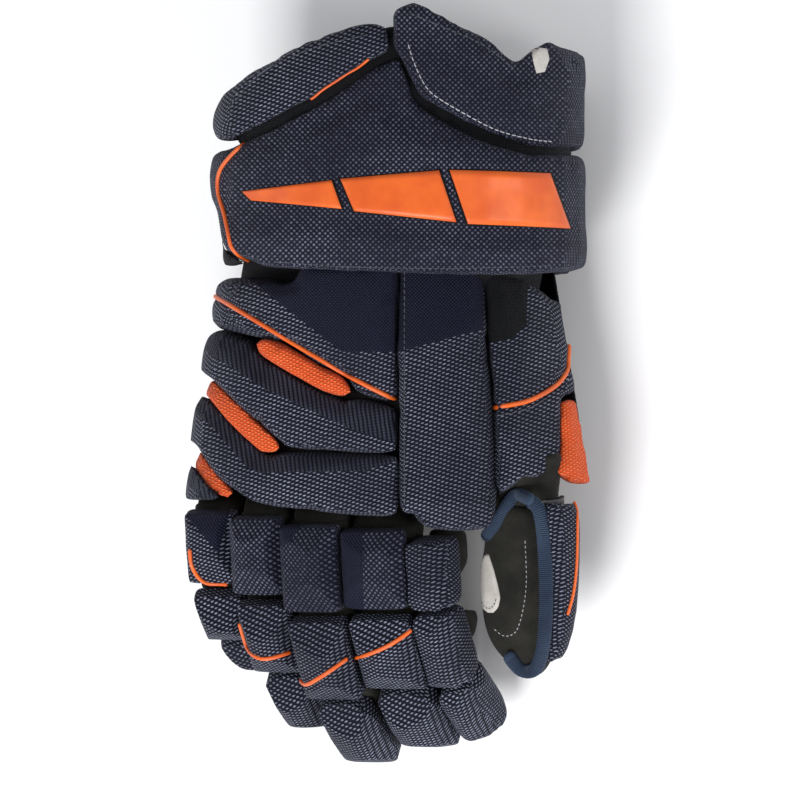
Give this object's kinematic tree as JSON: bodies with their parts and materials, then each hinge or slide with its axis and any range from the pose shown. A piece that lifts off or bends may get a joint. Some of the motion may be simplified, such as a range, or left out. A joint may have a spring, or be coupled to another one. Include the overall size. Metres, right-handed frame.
{
  "type": "hockey glove",
  "caption": "Padded ice hockey glove for the right hand: open floating cuff, padded backhand, jointed padded fingers, thumb and leather palm.",
  "frame": {"origin": "middle of the underside of the glove lying palm down", "axes": "+X to the thumb side, +Y to the cuff, +Z out of the back of the hand"},
  "size_m": [0.1942, 0.3386, 0.1158],
  "materials": {
    "navy_weave": "woven nylon over foam",
    "navy_mesh": "coarse knitted mesh over foam",
    "orange_mesh": "orange knitted mesh over foam",
    "orange_gloss": "moulded glossy trim",
    "palm_suede": "napped palm leather",
    "pale_leather": "pale reinforcement leather",
    "liner": "brushed lining",
    "rib_binding": "ribbed knit tape",
    "shield_plastic": "stiff sheet insert"
  },
  "bodies": {
    "hand": {"backhand_base": "liner", "backhand_shield": "shield_plastic", "backhand_upper_pad": "navy_weave", "backhand_roll_upper": "navy_weave", "backhand_roll_lower": "navy_weave", "backhand_roll_side": "navy_mesh", "backhand_insert_upper": "orange_mesh", "backhand_insert_middle": "orange_mesh", "backhand_insert_lower": "orange_mesh", "index_metacarpal_pad": "navy_weave", "thumb_gusset": "navy_mesh", "thumb_insert": "orange_mesh", "backhand_piping": "orange_gloss", "gusset_piping": "orange_gloss", "web_binding": "rib_binding", "palm_leather": "palm_suede", "palm_patch": "pale_leather"},
    "cuff": {"cuff_roll": "navy_weave", "cuff_ulnar_flare": "navy_mesh", "cuff_thumb_wing": "navy_weave", "cuff_side_panel": "navy_mesh", "cuff_accent_stripe": "orange_gloss", "cuff_palm_panel": "navy_weave", "cuff_liner": "liner"},
    "thumb": {"thumb_shell": "navy_mesh", "thumb_splint": "shield_plastic", "thumb_binding": "rib_binding", "thumb_stall": "palm_suede"},
    "little_proximal": {"little_proximal_pad": "navy_weave", "little_proximal_stall": "palm_suede"},
    "little_middle": {"little_middle_pad": "navy_weave", "little_middle_stall": "palm_suede"},
    "little_tip": {"little_tip_pad": "navy_weave", "little_tip_stall": "palm_suede"},
    "ring_proximal": {"ring_proximal_pad": "navy_weave", "ring_proximal_stall": "palm_suede"},
    "ring_middle": {"ring_middle_pad": "navy_weave", "ring_middle_stall": "palm_suede"},
    "ring_tip": {"ring_tip_pad": "navy_weave", "ring_tip_stall": "palm_suede"},
    "middle_proximal": {"middle_proximal_pad": "navy_weave", "middle_proximal_stall": "palm_suede"},
    "middle_middle": {"middle_middle_pad": "navy_weave", "middle_middle_stall": "palm_suede"},
    "middle_tip": {"middle_tip_pad": "navy_weave", "middle_tip_stall": "palm_suede"},
    "index_proximal": {"index_proximal_pad": "navy_weave", "index_proximal_stall": "palm_suede", "index_proximal_side_pad": "navy_mesh"},
    "index_middle": {"index_middle_pad": "navy_weave", "index_middle_stall": "palm_suede", "index_middle_side_pad": "navy_mesh"},
    "index_tip": {"index_tip_pad": "navy_weave", "index_tip_stall": "palm_suede", "index_tip_side_pad": "navy_mesh"}
  },
  "joints": [
    {"name": "cuff_tilt", "type": "hinge", "parent": "hand", "child": "cuff", "pos_m": [0.01286, 0.05749, 0.05592], "axis": [1, 0, 0], "range_deg": [-6, 5], "stiffness_Nm_per_rad": 3},
    {"name": "little_knuckle", "type": "hinge", "parent": "hand", "child": "little_proximal", "pos_m": [-0.07114, -0.04851, 0.06092], "axis": [1, 0, 0], "range_deg": [-6, 36], "stiffness_Nm_per_rad": 1.5},
    {"name": "little_mid_joint", "type": "hinge", "parent": "little_proximal", "child": "little_middle", "pos_m": [-0.07114, -0.08209, 0.0556], "axis": [1, 0, 0], "range_deg": [-6, 28], "stiffness_Nm_per_rad": 0.9},
    {"name": "little_end_joint", "type": "hinge", "parent": "little_middle", "child": "little_tip", "pos_m": [-0.07114, -0.10067, 0.03887], "axis": [1, 0, 0], "range_deg": [-5, 23]},
    {"name": "ring_knuckle", "type": "hinge", "parent": "hand", "child": "ring_proximal", "pos_m": [-0.04504, -0.05151, 0.06842], "axis": [1, 0, 0], "range_deg": [-6, 40], "stiffness_Nm_per_rad": 1.5},
    {"name": "ring_mid_joint", "type": "hinge", "parent": "ring_proximal", "child": "ring_middle", "pos_m": [-0.04504, -0.08716, 0.06341], "axis": [1, 0, 0], "range_deg": [-6, 36], "stiffness_Nm_per_rad": 0.9},
    {"name": "ring_end_joint", "type": "hinge", "parent": "ring_middle", "child": "ring_tip", "pos_m": [-0.04504, -0.11618, 0.04384], "axis": [1, 0, 0], "range_deg": [-5, 29.5]},
    {"name": "middle_knuckle", "type": "hinge", "parent": "hand", "child": "middle_proximal", "pos_m": [-0.01784, -0.05501, 0.07192], "axis": [1, 0, 0], "range_deg": [-6, 40], "stiffness_Nm_per_rad": 1.5},
    {"name": "middle_mid_joint", "type": "hinge", "parent": "middle_proximal", "child": "middle_middle", "pos_m": [-0.01784, -0.09462, 0.06635], "axis": [1, 0, 0], "range_deg": [-6, 36], "stiffness_Nm_per_rad": 0.9},
    {"name": "middle_end_joint", "type": "hinge", "parent": "middle_middle", "child": "middle_tip", "pos_m": [-0.01784, -0.12817, 0.04457], "axis": [1, 0, 0], "range_deg": [-5, 29.5]},
    {"name": "index_knuckle", "type": "hinge", "parent": "hand", "child": "index_proximal", "pos_m": [0.01196, -0.05651, 0.06942], "axis": [1, 0, 0], "range_deg": [-6, 40], "stiffness_Nm_per_rad": 1.5},
    {"name": "index_mid_joint", "type": "hinge", "parent": "index_proximal", "child": "index_middle", "pos_m": [0.01196, -0.09315, 0.06427], "axis": [1, 0, 0], "range_deg": [-6, 36], "stiffness_Nm_per_rad": 0.9},
    {"name": "index_end_joint", "type": "hinge", "parent": "index_middle", "child": "index_tip", "pos_m": [0.01196, -0.123, 0.04414], "axis": [1, 0, 0], "range_deg": [-5, 29.5]},
    {"name": "thumb_bend", "type": "hinge", "parent": "hand", "child": "thumb", "pos_m": [0.07346, -0.04451, 0.03992], "axis": [1, 0, 0], "range_deg": [-1, 24], "stiffness_Nm_per_rad": 1.5}
  ],
  "couplings": [
    {"joint": "little_end_joint", "follows": "little_mid_joint", "ratio": 0.8},
    {"joint": "ring_end_joint", "follows": "ring_mid_joint", "ratio": 0.8},
    {"joint": "middle_end_joint", "follows": "middle_mid_joint", "ratio": 0.8},
    {"joint": "index_end_joint", "follows": "index_mid_joint", "ratio": 0.8}
  ]
}
